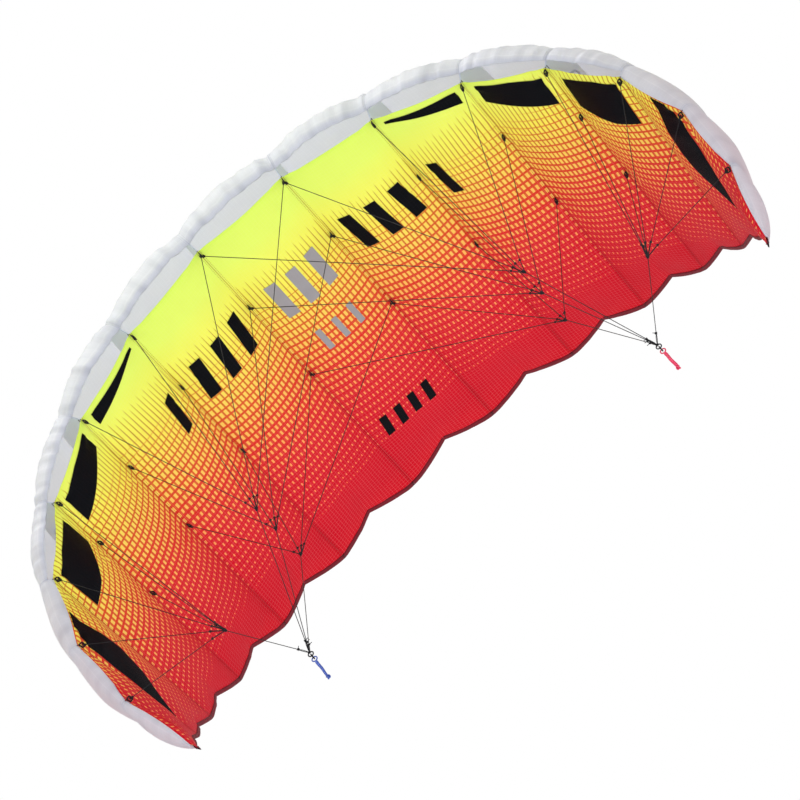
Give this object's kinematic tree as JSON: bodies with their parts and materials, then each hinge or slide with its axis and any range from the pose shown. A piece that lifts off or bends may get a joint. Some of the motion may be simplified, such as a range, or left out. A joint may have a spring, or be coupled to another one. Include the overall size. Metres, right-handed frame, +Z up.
{
  "type": "two-line foil kite",
  "caption": "Arched ram-air foil kite of cloth cells with open mouths, cascaded bridle lines and two short pigtails for the flying lines.",
  "frame": {"origin": "centre of the whole kite's box, canopy and bridle together", "axes": "+X to the wing tip of the red pigtail, +Y from the leading edge to the trailing edge, +Z up from the tow points to the canopy"},
  "size_m": [1.0342, 0.5806, 0.7472],
  "materials": {
    "upper_cloth": "white ripstop canopy cloth",
    "lower_cloth": "printed ripstop canopy cloth, yellow to red, with black panels",
    "rib_cloth": "white ripstop rib cloth",
    "binding_tape": "maroon binding tape",
    "tab_webbing": "black webbing",
    "bridle_line": "thin black braided line",
    "leader_line": "grey braided line",
    "red_sleeve": "rose-red woven sleeve over cord",
    "blue_sleeve": "blue woven sleeve over cord"
  },
  "bodies": {
    "canopy": {"upper_panel_centre": "upper_cloth", "lower_panel_centre": "lower_cloth", "upper_panel_right_1": "upper_cloth", "upper_panel_right_2": "upper_cloth", "upper_panel_right_3": "upper_cloth", "upper_panel_right_4": "upper_cloth", "upper_panel_right_5": "upper_cloth", "upper_panel_right_6": "upper_cloth", "upper_panel_left_1": "upper_cloth", "upper_panel_left_2": "upper_cloth", "upper_panel_left_3": "upper_cloth", "upper_panel_left_4": "upper_cloth", "upper_panel_left_5": "upper_cloth", "upper_panel_left_6": "upper_cloth", "lower_panel_right_1": "lower_cloth", "lower_panel_right_2": "lower_cloth", "lower_panel_right_3": "lower_cloth", "lower_panel_right_4": "lower_cloth", "lower_panel_right_5": "lower_cloth", "lower_panel_right_6": "lower_cloth", "lower_panel_left_1": "lower_cloth", "lower_panel_left_2": "lower_cloth", "lower_panel_left_3": "lower_cloth", "lower_panel_left_4": "lower_cloth", "lower_panel_left_5": "lower_cloth", "lower_panel_left_6": "lower_cloth", "rib_right_1": "rib_cloth", "rib_right_2": "rib_cloth", "rib_right_3": "rib_cloth", "rib_right_4": "rib_cloth", "rib_right_5": "rib_cloth", "rib_right_6": "rib_cloth", "rib_right_7": "rib_cloth", "rib_left_1": "rib_cloth", "rib_left_2": "rib_cloth", "rib_left_3": "rib_cloth", "rib_left_4": "rib_cloth", "rib_left_5": "rib_cloth", "rib_left_6": "rib_cloth", "rib_left_7": "rib_cloth", "trailing_binding": "binding_tape", "bridle_tabs": "tab_webbing", "bridle_legs_right": "bridle_line", "cascade_knots_right": "bridle_line", "leader_lines_right": "leader_line", "tow_loops_right": "bridle_line", "bridle_legs_left": "bridle_line", "cascade_knots_left": "bridle_line", "leader_lines_left": "leader_line", "tow_loops_left": "bridle_line"},
    "right_wing_tip": {"upper_tip_right": "upper_cloth", "lower_tip_right": "lower_cloth", "tip_binding_right": "binding_tape"},
    "left_wing_tip": {"upper_tip_left": "upper_cloth", "lower_tip_left": "lower_cloth", "tip_binding_left": "binding_tape"},
    "right_hitch": {"hitch_ring_right": "bridle_line"},
    "left_hitch": {"hitch_ring_left": "bridle_line"},
    "right_pigtail": {"pigtail_right": "red_sleeve"},
    "left_pigtail": {"pigtail_left": "blue_sleeve"}
  },
  "joints": [
    {"name": "right_tip_fold", "type": "hinge", "parent": "canopy", "child": "right_wing_tip", "pos_m": [0.49424, -0.20427, -0.19256], "axis": [-0.1767, 0.9837, 0.0333], "range_deg": [0, 30]},
    {"name": "right_pigtail_swing", "type": "hinge", "parent": "canopy", "child": "right_hitch", "pos_m": [0.28, -0.1799, -0.32459], "axis": [1, 0, 0], "range_deg": [-70, 70]},
    {"name": "right_pigtail_sway", "type": "hinge", "parent": "right_hitch", "child": "right_pigtail", "pos_m": [0.28, -0.1799, -0.32989], "axis": [0, 1, 0], "range_deg": [-60, 60]},
    {"name": "left_tip_fold", "type": "hinge", "parent": "canopy", "child": "left_wing_tip", "pos_m": [-0.49424, -0.20427, -0.19256], "axis": [-0.1767, -0.9837, -0.0333], "range_deg": [0, 30]},
    {"name": "left_pigtail_swing", "type": "hinge", "parent": "canopy", "child": "left_hitch", "pos_m": [-0.28, -0.1799, -0.32459], "axis": [1, 0, 0], "range_deg": [-70, 70]},
    {"name": "left_pigtail_sway", "type": "hinge", "parent": "left_hitch", "child": "left_pigtail", "pos_m": [-0.28, -0.1799, -0.32989], "axis": [0, 1, 0], "range_deg": [-60, 60]}
  ]
}
